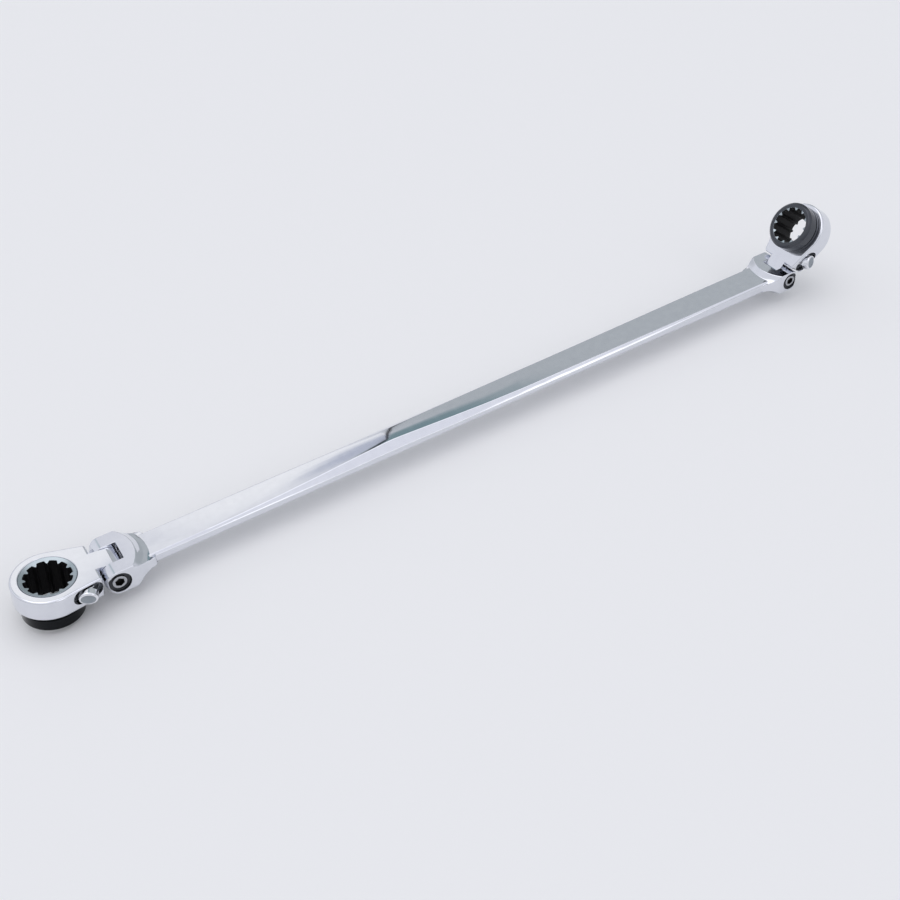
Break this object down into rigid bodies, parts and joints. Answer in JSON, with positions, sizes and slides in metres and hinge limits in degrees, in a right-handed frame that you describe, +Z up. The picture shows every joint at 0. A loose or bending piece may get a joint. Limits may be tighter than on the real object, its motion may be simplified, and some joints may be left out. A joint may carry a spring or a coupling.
{
  "type": "ratchet wrench",
  "caption": "Extra-long double-ended ratcheting ring wrench with two flex heads, tall twelve-lobe socket collars and side reversing levers.",
  "frame": {"origin": "middle of the footprint, at the level of the lowest point", "axes": "+X along the handle towards the smaller head, +Z up off the flat of the handle, both reversing levers on the -Y side"},
  "size_m": [0.4668, 0.0356, 0.0506],
  "materials": {
    "satin_chrome": "satin chrome plate",
    "lever_chrome": "bright chrome plate",
    "socket_steel": "dark nickel plate over hardened steel",
    "spring_steel": "bright spring steel",
    "screw_steel": "nickel plate",
    "hardened_steel": "oiled hardened steel"
  },
  "bodies": {
    "handle": {"handle": "satin_chrome", "near_pivot_screw": "screw_steel", "near_flex_ball": "hardened_steel", "near_flex_spring": "spring_steel", "far_pivot_screw": "screw_steel", "far_flex_ball": "hardened_steel", "far_flex_spring": "spring_steel"},
    "near_head": {"near_head_body": "satin_chrome", "near_retaining_ring": "spring_steel", "near_pawl_pin": "hardened_steel"},
    "near_gear": {"near_ratchet_gear": "socket_steel"},
    "near_pawl": {"near_pawl": "hardened_steel"},
    "near_lever": {"near_reversing_lever": "lever_chrome", "near_pawl_plunger": "hardened_steel", "near_pawl_spring": "spring_steel"},
    "far_head": {"far_head_body": "satin_chrome", "far_retaining_ring": "spring_steel", "far_pawl_pin": "hardened_steel"},
    "far_gear": {"far_ratchet_gear": "socket_steel"},
    "far_pawl": {"far_pawl": "hardened_steel"},
    "far_lever": {"far_reversing_lever": "lever_chrome", "far_pawl_plunger": "hardened_steel", "far_pawl_spring": "spring_steel"}
  },
  "joints": [
    {"name": "near_flex", "type": "hinge", "parent": "handle", "child": "near_head", "pos_m": [-0.1883, 0.00108, 0.01322], "axis": [0, 1, 0], "range_deg": [-97, 83]},
    {"name": "near_gear_spin", "type": "hinge", "parent": "near_head", "child": "near_gear", "pos_m": [-0.21609, 0.00108, 0.01663], "axis": [-0.1219, 0, -0.9925], "continuous": true},
    {"name": "near_lever_swing", "type": "hinge", "parent": "near_head", "child": "near_lever", "pos_m": [-0.20107, -0.01074, 0.01479], "axis": [-0.1219, 0, -0.9925], "range_deg": [-36, 0]},
    {"name": "near_pawl_rock", "type": "hinge", "parent": "near_head", "child": "near_pawl", "pos_m": [-0.20396, -0.00846, 0.01514], "axis": [-0.1219, 0, -0.9925], "range_deg": [-0.5, 20.5]},
    {"name": "far_flex", "type": "hinge", "parent": "handle", "child": "far_head", "pos_m": [0.2037, 0.00108, 0.01322], "axis": [0, 1, 0], "range_deg": [-40, 140]},
    {"name": "far_gear_spin", "type": "hinge", "parent": "far_head", "child": "far_gear", "pos_m": [0.2199, 0.00108, 0.03252], "axis": [-0.766, 0, 0.6428], "continuous": true},
    {"name": "far_lever_swing", "type": "hinge", "parent": "far_head", "child": "far_lever", "pos_m": [0.21115, -0.00956, 0.02209], "axis": [-0.766, 0, 0.6428], "range_deg": [-36, 0]},
    {"name": "far_pawl_rock", "type": "hinge", "parent": "far_head", "child": "far_pawl", "pos_m": [0.21284, -0.00751, 0.0241], "axis": [-0.766, 0, 0.6428], "range_deg": [-0.5, 20.5]}
  ],
  "couplings": [
    {"joint": "near_pawl_rock", "follows": "near_lever_swing", "ratio": -0.55556},
    {"joint": "far_pawl_rock", "follows": "far_lever_swing", "ratio": -0.55556}
  ]
}
